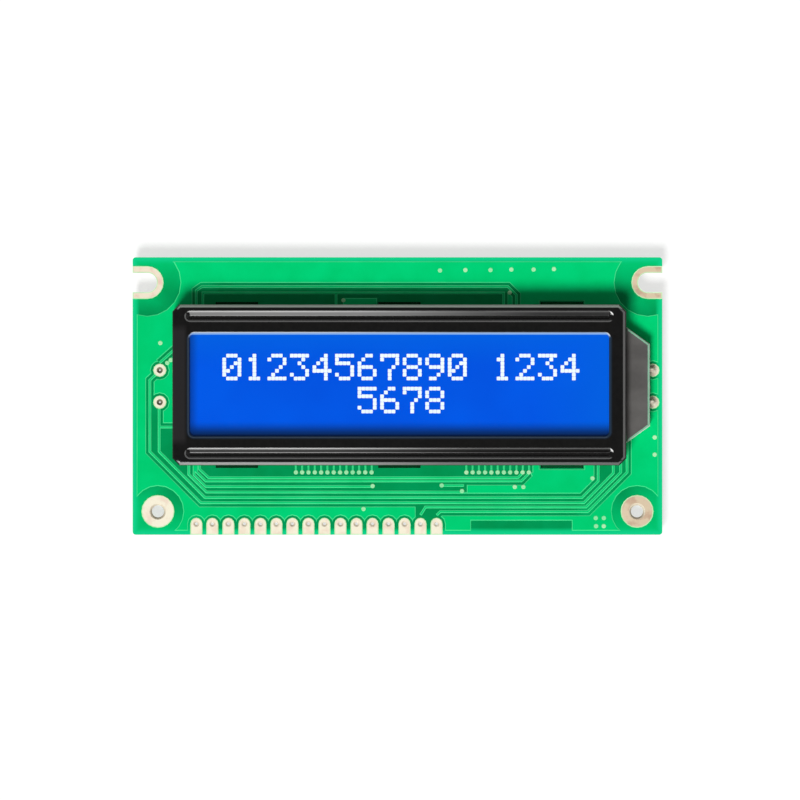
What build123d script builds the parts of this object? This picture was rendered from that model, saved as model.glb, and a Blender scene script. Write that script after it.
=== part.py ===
from build123d import *
import os

# Character display module: two rows of sixteen characters on a circuit board.
# Sizes are in millimetres. X runs along the board, Y across it and Z out of the display.
# The origin is under the middle of the board, on the plane that the bezel's tabs stand on.

# Window of the bezel, through which the display is seen
window_length = 66.1
window_width = 16.1
window_corner_r = 0.7
window_edge_cut = 0.3

# Stamped bezel round the window, with pressed grooves and folded tabs
bezel_end_face = 2.75
bezel_side_face = 4.65
bezel_sheet = 0.4
bezel_edge_r = 0.65
bezel_corner_cut = 1.1
bezel_relief_width = 0.9
bezel_relief_drop = 1.4
groove_width = 1.95
groove_depth = 0.45
groove_taper = 48.0
groove_edge_distance = 1.9
groove_end_distance = 1.85

# Circuit board, with a margin beyond the bezel on every side
board_end_margin = 6.2
board_side_margin = 9.3
board_thickness = 1.6
board_corner_r = 0.5
copper_thickness = 0.05
plating_thickness = 0.05

# Middle of the display, measured from the middle of the board
display_x = 0.3
display_y = 1.75

# Plated holes at the two lower corners
mount_hole_r = 1.3
mount_land_r = 2.6
mount_end_distance = 4.0
mount_side_distance = 3.7
mount_keepout_r = 4.05

# Plated slots that open to the sides at the two upper corners
corner_slot_r = 1.55
corner_slot_land_r = 2.6
corner_slot_reach = 2.3
corner_slot_edge_distance = 4.0
corner_slot_keepout_r = 5.3

# Row of header pads along the lower edge
header_count = 16
header_pitch = 2.54
header_first_distance = 10.1
header_edge_distance = 1.74
header_hole_r = 0.5
header_pad_width = 1.9

# Two pairs of backlight pads, one at each end
lamp_pad_r = 1.05
lamp_hole_r = 0.5
lamp_pad_pitch = 5.08
lamp_pad_shift = -0.2
left_lamp_edge_distance = 4.3
right_lamp_reach = 0.6

# Copper on the board's two faces
pour_inset = 0.65
pad_gap = 0.4
track_width = 0.42
track_gap = 0.4
fine_track_width = 0.28
bare_patch_length = 16.0
bare_patch_width = 1.9
bare_patch_shares = (0.468, -0.941)
bare_area_shares = (
    ((-0.74, -0.575), (0.504, -0.45)),
    ((-0.094, -0.692), (0.262, -0.612)),
    ((-0.735, 0.6), (0.401, 0.743)),
    ((0.068, -0.872), (0.153, -0.786)),
    ((0.1, -0.915), (0.13, -0.86)),
    ((-0.9, -0.46), (-0.8, -0.202)),
    ((-0.85, -0.555), (-0.79, -0.44)),
    ((-0.93, -0.4), (-0.905, -0.07)),
    ((0.768, -0.62), (0.806, -0.46)),
)
copper_patch_shares = ((-0.206, 0.6), (-0.077, 0.706))

# Tabs of the bezel, which pass through the board and are bent over behind it
tab_width = 6.4
tab_joggle = 0.4
tab_joggle_height = 1.6
tab_side_relief = 0.5
tab_bend_reach = 1.3
tab_place_shares = (-0.72, 0, 0.72)
tab_slot_margin = 0.15
tab_slot_width = 1.5
tab_slot_clearance = 0.06
tab_slot_gap = 0.2
foot_height = 2.2

# Liquid crystal cell
glass_end_clearance = 0.7
glass_side_clearance = 0.3
glass_end_ledge = 0.5
glass_side_ledge = 2.6
glass_thickness = 1.1
polariser_margin = 0.7
polariser_thickness = 0.2
plug_length = 3.0
plug_bulge = 0.25

# Contact strips under the long ledges of the front glass
strip_end_distance = 1.6
strip_width = 1.8
strip_clearance = 0.4

# Edge-lit backlight
backlight_wall = 0.9
reflector_thickness = 0.15
guide_thickness = 2.2
diffuser_thickness = 0.25
guide_clearance = 0.1
lamp_board_thickness = 0.6
lamp_board_width = 14.0
lamp_count = 3
lamp_depth = 1.0
lamp_width = 2.8
lamp_height = 1.4
lamp_pitch = 4.4

# Tail of the backlight, outside the bezel
neck_width = 10.0
neck_clearance = 0.15
tail_base_width = 18.3
tail_end_width = 13.0
tail_length = 3.7
tail_gap = 0.1
tail_lift = 0.8
tail_cover_thickness = 0.25
tail_cover_inset = 0.08

# Leads of the backlight and their solder
lead_width = 0.5
lead_thickness = 0.25
lead_height = 1.3
lead_bend_r = 0.3
lead_clearance = 0.05
lead_end_length = 0.7
solder_height = 0.45
solder_taper = 50.0

# Chips under domes of black resin, and small parts on the back
dome_r = 7.2
dome_height = 1.25
dome_shares = ((-0.31, 0.08), (0.36, 0.08))
dome_sides = 16
dome_tier_shares = (0.6, 0.4)
dome_tier_tapers = (35, 72)
chip_length = 2.0
chip_width = 1.25
chip_height = 0.5
chip_cap_length = 0.4
chip_pitch = 2.4
resistor_count = 7
resistor_shares = (-0.36, -0.58)
capacitor_length = 3.2
capacitor_width = 1.6
capacitor_height = 1.1
capacitor_cap_length = 0.5
capacitor_pitch = 5.2
capacitor_count = 3
capacitor_shares = (0.22, -0.58)

# Etched outlines and the hidden walls behind plated barrels have short straight sides
land_sides = 20
pad_sides = 12
drill_sides = 8

# One overrun serves every cut
overrun = 1.0

# Sizes of the main pieces, worked out from the window outwards
bezel_length = window_length + 2 * bezel_end_face
bezel_width = window_width + 2 * bezel_side_face
board_length = bezel_length + 2 * board_end_margin
board_width = bezel_width + 2 * board_side_margin
groove_length = bezel_length - 2 * groove_end_distance
groove_offset = bezel_width / 2 - groove_edge_distance
front_glass_length = bezel_length - 2 * (bezel_sheet + glass_end_clearance)
front_glass_width = bezel_width - 2 * (bezel_sheet + glass_side_clearance)
rear_glass_length = front_glass_length - 2 * glass_end_ledge
rear_glass_width = front_glass_width - 2 * glass_side_ledge
strip_length = front_glass_length - 2 * strip_end_distance
backlight_length = rear_glass_length
backlight_width = 2 * groove_offset - strip_width - 2 * strip_clearance

# Heights, worked out from the layers upwards
board_bottom = foot_height
board_top = board_bottom + board_thickness
seat = board_top + copper_thickness
reflector_top = seat + reflector_thickness
guide_top = reflector_top + guide_thickness
backlight_top = guide_top + diffuser_thickness
rear_glass_bottom = backlight_top + polariser_thickness
front_glass_bottom = rear_glass_bottom + glass_thickness
front_glass_top = front_glass_bottom + glass_thickness
bezel_under = front_glass_top + groove_depth
bezel_top = bezel_under + bezel_sheet

# Places shared by several pieces
mount_x = board_length / 2 - mount_end_distance
mount_y = -board_width / 2 + mount_side_distance
corner_slot_x = board_length / 2 - corner_slot_reach
corner_slot_y = board_width / 2 - corner_slot_edge_distance
header_y = -board_width / 2 + header_edge_distance
header_places = [
    (-board_length / 2 + header_first_distance + number * header_pitch, header_y)
    for number in range(header_count)
]
tail_start = bezel_length / 2 + tail_gap
tail_end = tail_start + tail_length
left_lamp_x = -board_length / 2 + left_lamp_edge_distance
right_lamp_x = display_x + tail_end + right_lamp_reach
lamp_offsets = (lamp_pad_shift - lamp_pad_pitch / 2, lamp_pad_shift + lamp_pad_pitch / 2)
left_lamp_places = [(left_lamp_x, display_y + offset) for offset in lamp_offsets]
right_lamp_places = [(right_lamp_x, display_y + offset) for offset in lamp_offsets]
lamp_places = left_lamp_places + right_lamp_places
wall_y = bezel_width / 2 - bezel_sheet / 2
tab_y = wall_y + tab_joggle
tab_slot_length = tab_width + 2 * tab_slot_margin
tab_slot_y = tab_y + bezel_sheet / 2 + tab_slot_clearance - tab_slot_width / 2
tab_slot_places = [
    (display_x + share * bezel_length / 2, display_y + side * tab_slot_y)
    for share in tab_place_shares
    for side in (-1, 1)
]
neck_height = backlight_top + tail_cover_thickness
guide_room_length = backlight_length - 2 * backlight_wall
guide_room_width = backlight_width - 2 * backlight_wall
guide_room_end = guide_room_length / 2
lamp_board_x = guide_room_end - lamp_board_thickness
lamp_x = lamp_board_x - lamp_depth


def board_place(shares):
    """A place on the board from shares of its half length and half width."""
    return (shares[0] * board_length / 2, shares[1] * board_width / 2)


def area(corner_shares):
    """A plain area on the board between the shares of two opposite corners."""
    low_x, low_y = board_place(corner_shares[0])
    high_x, high_y = board_place(corner_shares[1])
    middle = ((low_x + high_x) / 2, (low_y + high_y) / 2)
    return Pos(*middle) * Rectangle(high_x - low_x, high_y - low_y)


def slab(outline, low, high):
    """An outline made solid between two heights."""
    return extrude(Pos(0, 0, low) * outline, amount=high - low)


def at_places(outline, places):
    """Copies of one outline at a list of places."""
    return Sketch() + [Pos(*place) * outline for place in places]


def copies(shape, places):
    """Copies of one solid at a list of places."""
    return Compound([Pos(*place) * shape for place in places])


def in_display(shape):
    """A shape drawn about the middle of the display, moved to its place on the board."""
    return Pos(display_x, display_y) * shape


# Outlines on the board

def etched_land(radius):
    """A large round copper outline, drawn with short straight sides."""
    return RegularPolygon(radius, land_sides)


def etched_pad(radius):
    """A small round copper outline, drawn with short straight sides."""
    return RegularPolygon(radius, pad_sides)


def drilled_disc(radius):
    """The wall of a hole behind its plating, drawn with short straight sides."""
    return RegularPolygon(radius, drill_sides, major_radius=False)


def corner_slot_outline(round_end, half_width):
    """Both upper slots, with a given inner end and open at the board's side edge."""
    reach = corner_slot_reach + overrun
    mouth = Pos(reach / 2, 0) * Rectangle(reach, 2 * half_width)
    right = Pos(corner_slot_x, corner_slot_y) * (round_end + mouth)
    return right + mirror(right, about=Plane.YZ)


def header_finger_outline(margin=0):
    """The sixteen header pads, each with a round top, running to the lower edge."""
    half_width = header_pad_width / 2 + margin
    foot = Pos(0, -header_edge_distance / 2) * Rectangle(2 * half_width, header_edge_distance)
    return at_places(etched_pad(half_width) + foot, header_places)


def mount_places():
    return [(-mount_x, mount_y), (mount_x, mount_y)]


def tab_slot_outline(margin=0):
    slot = Rectangle(tab_slot_length + 2 * margin, tab_slot_width + 2 * margin)
    return at_places(slot, tab_slot_places)


def drilled_outline():
    """Every hole and slot of the board, drawn before plating."""
    slot_wall = corner_slot_r + plating_thickness
    holes = at_places(drilled_disc(mount_hole_r + plating_thickness), mount_places())
    holes += at_places(drilled_disc(header_hole_r + plating_thickness), header_places)
    holes += at_places(drilled_disc(lamp_hole_r + plating_thickness), lamp_places)
    return holes + corner_slot_outline(etched_land(slot_wall), slot_wall) + tab_slot_outline()


def land_outline(margin=0):
    """Bare round lands on a face of the board, widened by a margin."""
    slot_land = corner_slot_land_r + margin
    lands = at_places(etched_land(mount_land_r + margin), mount_places())
    lands += at_places(etched_pad(lamp_pad_r + margin), lamp_places)
    return lands + corner_slot_outline(etched_land(slot_land), slot_land)


def header_band_outline():
    """A plain band round the whole row of header pads."""
    length = (header_count - 1) * header_pitch + header_pad_width + 2 * pad_gap
    width = 2 * (2 * header_edge_distance + pad_gap)
    middle = header_places[0][0] + (header_count - 1) * header_pitch / 2
    return Pos(middle, -board_width / 2) * Rectangle(length, width)


def board_outline():
    return RectangleRounded(board_length, board_width, board_corner_r)


def pour_outline():
    """Copper over a whole face, kept back from the edges, the corners and the lands."""
    pour = Rectangle(board_length - 2 * pour_inset, board_width - 2 * pour_inset)
    pour -= at_places(etched_land(mount_keepout_r), mount_places())
    corner = Rectangle(mount_end_distance, mount_side_distance)
    corner_x = mount_x + mount_end_distance / 2
    corner_y = mount_y - mount_side_distance / 2
    pour -= at_places(corner, [(-corner_x, corner_y), (corner_x, corner_y)])
    slot_places = [(-corner_slot_x, corner_slot_y), (corner_slot_x, corner_slot_y)]
    pour -= at_places(etched_land(corner_slot_keepout_r), slot_places)
    return pour - land_outline(pad_gap) - tab_slot_outline(tab_slot_gap)


# Routes of the tracks, as shares of the board's half length and half width

lower_route_shares = (
    ((-0.748, -0.46), (-0.748, -0.526), (-0.713, -0.588), (0.455, -0.588), (0.476, -0.548)),
    ((-0.759, -0.46), (-0.759, -0.546), (-0.724, -0.612), (0.468, -0.612), (0.497, -0.556)),
    ((-0.768, -0.46), (-0.768, -0.569), (-0.724, -0.652), (-0.094, -0.652)),
    ((-0.788, -0.46), (-0.788, -0.565), (-0.721, -0.692), (0.244, -0.692)),
    (
        (-0.9, -0.05), (-0.9, -0.4), (-0.727, -0.731),
        (0.697, -0.731), (0.758, -0.613), (0.758, -0.46),
    ),
    (
        (-0.898, 0.182), (-0.935, 0.115), (-0.935, -0.4), (-0.742, -0.769),
        (0.704, -0.769), (0.815, -0.556), (0.815, -0.46),
    ),
    ((0.087, -0.858), (0.106, -0.8), (0.712, -0.8), (0.843, -0.55), (0.843, -0.46)),
    ((0.148, -0.858), (0.162, -0.833), (0.719, -0.833), (0.867, -0.55), (0.867, -0.317)),
    ((0.167, -0.644), (0.251, -0.644)),
    ((-0.9, -0.2235), (-0.82, -0.2235)),
)
upper_route_shares = (
    ((-0.76, 0.6), (-0.76, 0.76), (-0.738, 0.789), (0.417, 0.789), (0.449, 0.728), (0.449, 0.6)),
    ((-0.735, 0.6), (-0.735, 0.743), (0.401, 0.743), (0.401, 0.6)),
    ((-0.232, 0.743), (-0.232, 0.6)),
    ((-0.84, 0.339), (-0.898, 0.24)),
)
contact_row_shares = ((-0.384, -0.097, 13), (0.26, 0.497, 11))
contact_row_top_share = -0.46
contact_row_end_share = -0.55


def track(route_shares, width):
    """One track along its route."""
    return trace(Polyline(*[board_place(shares) for shares in route_shares]), line_width=width)


def contact_rows(width):
    """Rows of short tracks that come out from under the display's lower edge."""
    stubs = Sketch()
    for start, end, count in contact_row_shares:
        for number in range(count):
            share = start + (end - start) * number / (count - 1)
            ends = ((share, contact_row_top_share), (share, contact_row_end_share))
            stubs += track(ends, width)
    return stubs


def track_outline(extra=0):
    """Every track on the front, widened by twice an extra at its sides."""
    tracks = Sketch()
    for route in lower_route_shares + upper_route_shares:
        tracks += track(route, track_width + 2 * extra)
    return tracks + contact_rows(fine_track_width + 2 * extra)


def circuit_board():
    return slab(board_outline() - drilled_outline(), board_bottom, board_top)


def front_copper():
    """Copper pour with the tracks that run through it, under the solder mask."""
    patch = Pos(*board_place(bare_patch_shares)) * Rectangle(bare_patch_length, bare_patch_width)
    glass = Rectangle(front_glass_length, front_glass_width)
    contact_band = in_display(glass - Rectangle(backlight_length, backlight_width))
    pour = pour_outline() - header_finger_outline(pad_gap) - track_outline(track_gap)
    bare = Sketch() + [area(corner_shares) for corner_shares in bare_area_shares]
    pour = pour - bare + area(copper_patch_shares) - patch - contact_band
    lands = land_outline() + header_finger_outline()
    tracks = track_outline() - lands - tab_slot_outline(tab_slot_gap)
    return slab(pour + tracks, board_top, seat)


def back_places(middle_shares, count, pitch):
    """A row of places on the back, spread about its middle."""
    x, y = board_place(middle_shares)
    return [(x + (number - (count - 1) / 2) * pitch, y) for number in range(count)]


def back_copper():
    """Copper pour on the back, kept clear of the resin domes and the small parts."""
    domes = at_places(
        etched_land(dome_r + pad_gap), [board_place(shares) for shares in dome_shares]
    )
    resistors = at_places(
        Rectangle(chip_width + 2 * pad_gap, chip_length + 2 * pad_gap),
        back_places(resistor_shares, resistor_count, chip_pitch),
    )
    capacitors = at_places(
        Rectangle(capacitor_length + 2 * pad_gap, capacitor_width + 2 * pad_gap),
        back_places(capacitor_shares, capacitor_count, capacitor_pitch),
    )
    pour = pour_outline() - header_band_outline() - domes - resistors - capacitors
    return slab(pour, board_bottom - copper_thickness, board_bottom)


# Plated pieces

def plating(front_land, back_land, wall, hole):
    """Lands on both faces of the board, joined by the plated wall of their hole."""
    back = board_bottom - copper_thickness
    piece = slab(front_land - hole, board_top, seat) + slab(back_land - hole, back, board_bottom)
    return piece + slab(wall - hole, board_bottom, board_top)


def plated_holes(front_land, back_land, hole_r, places):
    """Plated holes with the same lands, as separate pieces."""
    wall = drilled_disc(hole_r + plating_thickness)
    return copies(plating(front_land, back_land, wall, Circle(hole_r)), places)


def mount_hole_plating():
    land = etched_land(mount_land_r)
    return plated_holes(land, land, mount_hole_r, mount_places())


def lamp_pads():
    land = etched_pad(lamp_pad_r)
    return plated_holes(land, land, lamp_hole_r, lamp_places)


def header_pads():
    """Sixteen plated holes, each with a round-topped finger in front and a square one behind."""
    foot = Pos(0, -header_edge_distance / 2) * Rectangle(header_pad_width, header_edge_distance)
    finger = etched_pad(header_pad_width / 2) + foot
    square = Rectangle(header_pad_width, 2 * header_edge_distance)
    return plated_holes(finger, square, header_hole_r, header_places)


def corner_slot_plating():
    """The lined wall of both upper slots and the land round each on both faces."""
    slot = corner_slot_outline(Circle(corner_slot_r), corner_slot_r)
    wall_r = corner_slot_r + plating_thickness
    walls = corner_slot_outline(etched_land(wall_r), wall_r)
    lands = corner_slot_outline(etched_land(corner_slot_land_r), corner_slot_land_r)
    lands &= board_outline()
    return plating(lands, lands, walls & board_outline(), slot)


# Bezel

def bezel_block(inset, top, edge_r):
    """The bezel's outer form, or the room inside it, with cut corners and a rounded top."""
    cut = bezel_corner_cut - inset * (2 - 2**0.5)
    outline = chamfer(
        Rectangle(bezel_length - 2 * inset, bezel_width - 2 * inset).vertices(), length=cut
    )
    block = slab(outline, seat - (overrun if inset else 0), top)
    return fillet(block.faces().sort_by(Axis.Z)[-1].edges(), radius=edge_r)


def grooves(outline, top):
    """The pair of sloping-sided grooves beside the window, as solids that hang from a height."""
    one = extrude(
        Pos(0, 0, top) * outline, amount=groove_depth, dir=(0, 0, -1), taper=groove_taper
    )
    return copies(one, [(0, groove_offset), (0, -groove_offset)])


def tab():
    """One tab on the upper wall: it steps outwards, passes the board and is bent inwards."""
    joggle_top = board_top + tab_joggle_height
    bend = board_bottom - bezel_sheet / 2
    line = Polyline(
        (wall_y, joggle_top + bezel_sheet),
        (wall_y, joggle_top),
        (tab_y, joggle_top - 2 * tab_joggle),
        (tab_y, bend),
        (tab_y - tab_bend_reach * (bend + overrun) / bend, -overrun),
    )
    blade = extrude(Plane.YZ * trace(line, line_width=bezel_sheet), amount=tab_width / 2, both=True)
    below = slab(Pos(0, tab_y) * Rectangle(2 * tab_width, 2 * tab_width), -2 * overrun, 0)
    return blade - below


def bezel():
    """The black sheet frame that clamps the glass and is held by six bent tabs."""
    shell = bezel_block(0, bezel_top, bezel_edge_r)
    shell -= bezel_block(bezel_sheet, bezel_under, bezel_edge_r - bezel_sheet)

    relief = Rot(0, 0, 45) * Rectangle(2 * bezel_corner_cut, bezel_relief_width)
    corner_x = bezel_length / 2 - bezel_corner_cut / 2
    corner_y = bezel_width / 2 - bezel_corner_cut / 2
    reliefs = Sketch() + [
        Pos(corner_x, corner_y) * relief,
        Pos(-corner_x, -corner_y) * relief,
        Pos(-corner_x, corner_y) * mirror(relief, about=Plane.YZ),
        Pos(corner_x, -corner_y) * mirror(relief, about=Plane.YZ),
    ]
    shell -= slab(reliefs, seat - overrun, bezel_top - bezel_relief_drop)

    notch = Pos(bezel_length / 2, 0) * Rectangle(2 * overrun, neck_width + 2 * neck_clearance)
    shell -= slab(notch, seat - overrun, neck_height + neck_clearance)

    tab_room = Rectangle(tab_width + 2 * tab_side_relief, 3 * bezel_sheet)
    one_tab = tab()
    tabs = []
    rooms = []
    for share in tab_place_shares:
        x = share * bezel_length / 2
        rooms += [Pos(x, wall_y) * tab_room, Pos(x, -wall_y) * tab_room]
        tabs += [Pos(x, 0) * one_tab, Pos(x, 0) * Rot(0, 0, 180) * one_tab]
    shell -= slab(Sketch() + rooms, seat - overrun, board_top + tab_joggle_height)
    shell += tabs

    pressed = Rectangle(groove_length + bezel_sheet, groove_width + bezel_sheet)
    shell += grooves(pressed, bezel_under)
    shell -= grooves(SlotOverall(groove_length, groove_width), bezel_top)

    window = RectangleRounded(window_length, window_width, window_corner_r)
    shell -= slab(window, bezel_under - overrun, bezel_top + overrun)
    rim = shell.edges().filter_by_position(Axis.Z, bezel_top, bezel_top)
    rim = [
        edge
        for edge in rim
        if abs(edge.center().X) <= window_length / 2 and abs(edge.center().Y) <= window_width / 2
    ]
    return in_display(chamfer(rim, length=window_edge_cut))


# Liquid crystal cell and contact strips

def plate(length, width, low, high):
    return in_display(slab(Rectangle(length, width), low, high))


def front_polariser():
    return plate(
        window_length + 2 * polariser_margin,
        window_width + 2 * polariser_margin,
        front_glass_top,
        front_glass_top + polariser_thickness,
    )


def front_glass():
    return plate(front_glass_length, front_glass_width, front_glass_bottom, front_glass_top)


def rear_glass():
    return plate(rear_glass_length, rear_glass_width, rear_glass_bottom, front_glass_bottom)


def rear_polariser():
    return plate(
        rear_glass_length - 2 * polariser_margin,
        rear_glass_width - 2 * polariser_margin,
        backlight_top,
        rear_glass_bottom,
    )


def fill_port_plug():
    """The bead that closes the cell's filling port, on the left end of the rear glass."""
    bead = Pos(-rear_glass_length / 2 - plug_bulge / 2, 0) * Rectangle(plug_bulge, plug_length)
    return in_display(slab(bead, rear_glass_bottom + glass_thickness / 2, front_glass_bottom))


def contact_strip(side):
    """A strip of rubber with conducting layers between the board and a glass ledge."""
    bar = Pos(0, side * groove_offset) * Rectangle(strip_length, strip_width)
    return in_display(slab(bar, seat, front_glass_bottom))


# Backlight

def guide_room():
    return Rectangle(guide_room_length, guide_room_width)


def tail_outline(inset=0):
    """The tail beside the bezel, wide at its root and narrower at its end."""
    root = tail_base_width / 2 - inset
    tip = tail_end_width / 2 - inset
    end = tail_end - inset
    corners = ((tail_start, -root), (end, -tip), (end, tip), (tail_start, root))
    return make_face(Polyline(*corners, close=True))


def lamp_lead(extra=0):
    """One bent lead, in line with the display's middle: out of the tail and down."""
    lead_x = right_lamp_x - display_x
    height = seat + lead_height
    line = FilletPolyline(
        (guide_room_end, height),
        (lead_x, height),
        (lead_x, board_bottom - lead_end_length),
        radius=lead_bend_r,
    )
    section = trace(line, line_width=lead_thickness + 2 * extra)
    return extrude(Plane.XZ * section, amount=lead_width / 2 + extra, both=True)


def lamp_leads_at(extra=0):
    return copies(lamp_lead(extra), [(0, offset) for offset in lamp_offsets])


def backlight_frame():
    """The white moulding that holds the light guide, with its neck and tail."""
    neck_start = backlight_length / 2 - backlight_wall
    neck = Pos((neck_start + tail_start) / 2, 0) * Rectangle(tail_start - neck_start, neck_width)
    ring = slab(Rectangle(backlight_length, backlight_width) - guide_room(), seat, backlight_top)
    tail = slab(neck - guide_room() + tail_outline(), seat + tail_lift, backlight_top)
    return in_display(ring + tail - lamp_leads_at(lead_clearance))


def tail_cover():
    """The dark film on the tail, a little smaller than the moulding under it."""
    return in_display(slab(tail_outline(tail_cover_inset), backlight_top, neck_height))


def room_sheet(low, high, end):
    """A sheet or plate that lies in the frame's room and stops short of its lamp end."""
    length = end + guide_room_length / 2 - guide_clearance
    middle = (end - guide_room_length / 2 + guide_clearance) / 2
    outline = Rectangle(length, guide_room_width - 2 * guide_clearance)
    return in_display(slab(Pos(middle, 0) * outline, low, high))


def reflector_film():
    return room_sheet(seat, reflector_top, guide_room_end - guide_clearance)


def light_guide():
    return room_sheet(reflector_top, guide_top, lamp_x)


def diffuser_film():
    return room_sheet(guide_top, backlight_top, guide_room_end - guide_clearance)


def lamp_board():
    """The small strip board that carries the lamps, upright at the room's right end."""
    strip = Pos(lamp_board_x + lamp_board_thickness / 2, 0)
    strip *= Rectangle(lamp_board_thickness, lamp_board_width)
    return in_display(slab(strip, reflector_top, guide_top))


def lamps():
    """Side-facing white lamps between the strip board and the light guide."""
    lamp = Pos(lamp_x + lamp_depth / 2, 0) * Rectangle(lamp_depth, lamp_width)
    middle = (reflector_top + guide_top) / 2
    one = slab(lamp, middle - lamp_height / 2, middle + lamp_height / 2)
    places = [(0, (number - (lamp_count - 1) / 2) * lamp_pitch) for number in range(lamp_count)]
    return in_display(copies(one, places))


def lamp_leads():
    return in_display(lamp_leads_at())


def lamp_solder():
    """Solder that fills the two lead holes and rises round the leads on both faces."""
    back = board_bottom - copper_thickness
    fill = slab(Circle(lamp_hole_r), back, seat)
    foot = Pos(0, 0, seat) * etched_pad(lamp_pad_r)
    rise = extrude(foot, amount=solder_height, taper=solder_taper)
    joint = fill + rise + mirror(rise, about=Plane((0, 0, (back + seat) / 2)))
    return copies(joint, right_lamp_places) - lamp_leads()


# Parts on the back

def resin_domes():
    """Black resin domes over the two chips, each built up from tapering tiers."""
    face = Pos(0, 0, board_bottom) * RegularPolygon(dome_r, dome_sides)
    dome = Part()
    for share, taper in zip(dome_tier_shares, dome_tier_tapers):
        tier = extrude(face, amount=share * dome_height, dir=(0, 0, -1), taper=taper)
        face = tier.faces().sort_by(Axis.Z)[0]
        dome += tier
    return copies(dome, [board_place(shares) for shares in dome_shares])


def small_part(length, width, height, cap_length, along_y):
    """The body of a small part and the two metal caps on its ends."""
    turn = Rot(0, 0, 90) if along_y else Rot(0, 0, 0)
    body_length = length - 2 * cap_length
    body = slab(turn * Rectangle(body_length, width), board_bottom - height, board_bottom)
    cap = Rectangle(cap_length, width)
    offset = body_length / 2 + cap_length / 2
    caps = turn * (Pos(offset, 0) * cap + Pos(-offset, 0) * cap)
    return body, slab(caps, board_bottom - height, board_bottom)


def resistors():
    places = back_places(resistor_shares, resistor_count, chip_pitch)
    body, caps = small_part(chip_length, chip_width, chip_height, chip_cap_length, True)
    return places, body, caps


def capacitors():
    places = back_places(capacitor_shares, capacitor_count, capacitor_pitch)
    body, caps = small_part(
        capacitor_length, capacitor_width, capacitor_height, capacitor_cap_length, False
    )
    return places, body, caps


resistor_places, resistor_body, resistor_cap = resistors()
capacitor_places, capacitor_body, capacitor_cap = capacitors()

nodes = {
    "circuit_board": circuit_board(),
    "front_copper": front_copper(),
    "back_copper": back_copper(),
    "header_pads": header_pads(),
    "mount_hole_plating": mount_hole_plating(),
    "corner_slot_plating": corner_slot_plating(),
    "lamp_pads": lamp_pads(),
    "bezel": bezel(),
    "front_polariser": front_polariser(),
    "front_glass": front_glass(),
    "rear_glass": rear_glass(),
    "rear_polariser": rear_polariser(),
    "fill_port_plug": fill_port_plug(),
    "upper_contact_strip": contact_strip(1),
    "lower_contact_strip": contact_strip(-1),
    "backlight_frame": backlight_frame(),
    "reflector_film": reflector_film(),
    "light_guide": light_guide(),
    "diffuser_film": diffuser_film(),
    "lamp_board": lamp_board(),
    "lamps": lamps(),
    "tail_cover": tail_cover(),
    "lamp_leads": lamp_leads(),
    "lamp_solder": lamp_solder(),
    "resin_domes": resin_domes(),
    "resistor_bodies": copies(resistor_body, resistor_places),
    "resistor_caps": copies(resistor_cap, resistor_places),
    "capacitor_bodies": copies(capacitor_body, capacitor_places),
    "capacitor_caps": copies(capacitor_cap, capacitor_places),
}

os.makedirs("parts", exist_ok=True)
for name, shape in nodes.items():
    export_step(shape, f"parts/{name}.step")
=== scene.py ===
import math

import bmesh
import bpy
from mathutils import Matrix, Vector

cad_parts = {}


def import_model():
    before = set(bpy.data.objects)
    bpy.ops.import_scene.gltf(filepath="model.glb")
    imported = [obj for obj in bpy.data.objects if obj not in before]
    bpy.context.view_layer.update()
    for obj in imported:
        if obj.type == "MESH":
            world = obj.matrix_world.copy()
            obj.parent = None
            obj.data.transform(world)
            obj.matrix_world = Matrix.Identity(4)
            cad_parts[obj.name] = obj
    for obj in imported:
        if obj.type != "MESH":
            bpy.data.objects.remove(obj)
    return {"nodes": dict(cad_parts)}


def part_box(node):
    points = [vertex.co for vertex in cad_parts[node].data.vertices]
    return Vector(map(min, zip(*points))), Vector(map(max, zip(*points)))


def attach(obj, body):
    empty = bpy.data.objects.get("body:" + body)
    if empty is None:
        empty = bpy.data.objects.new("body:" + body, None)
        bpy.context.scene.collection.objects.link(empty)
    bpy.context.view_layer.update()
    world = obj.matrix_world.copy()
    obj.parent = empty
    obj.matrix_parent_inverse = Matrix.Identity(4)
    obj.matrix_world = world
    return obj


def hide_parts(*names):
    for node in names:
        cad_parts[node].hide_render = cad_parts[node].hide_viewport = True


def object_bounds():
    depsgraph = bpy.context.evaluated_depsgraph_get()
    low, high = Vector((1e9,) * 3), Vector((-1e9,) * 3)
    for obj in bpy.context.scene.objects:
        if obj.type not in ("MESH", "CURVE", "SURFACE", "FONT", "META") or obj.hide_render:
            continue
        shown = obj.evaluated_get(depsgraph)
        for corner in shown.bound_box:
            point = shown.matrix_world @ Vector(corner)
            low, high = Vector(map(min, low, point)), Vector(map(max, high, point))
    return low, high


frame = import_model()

MM = 0.001
cad_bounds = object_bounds()
scene = bpy.context.scene
nodes = frame["nodes"]

# Places that the pieces follow, read from the solids
bezel_low, bezel_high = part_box("bezel")
copper_low, copper_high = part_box("front_copper")
back_low, back_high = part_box("back_copper")
film_low, film_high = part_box("front_polariser")
BEZEL_TOP = bezel_high.z
COPPER_TOP = copper_high.z
BACK_BOTTOM = back_low.z
BOARD_TOP = copper_low.z
BOARD_BOTTOM = back_high.z
DISPLAY_X = (film_low.x + film_high.x) / 2
DISPLAY_Y = (film_low.y + film_high.y) / 2
FILM_TOP = film_high.z

BEZEL_LENGTH = bezel_high.x - bezel_low.x
# The board is the widest piece, and its middle is the frame's
BOARD_HALF_LENGTH, BOARD_HALF_WIDTH = cad_bounds[1][:2]

# Sizes of the window in the bezel, and of the film round its lit field
WINDOW_LENGTH = 66.1 * MM
WINDOW_WIDTH = 16.1 * MM
WINDOW_CORNER_R = 0.7 * MM
POLARISER_MARGIN = 0.7 * MM

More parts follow.
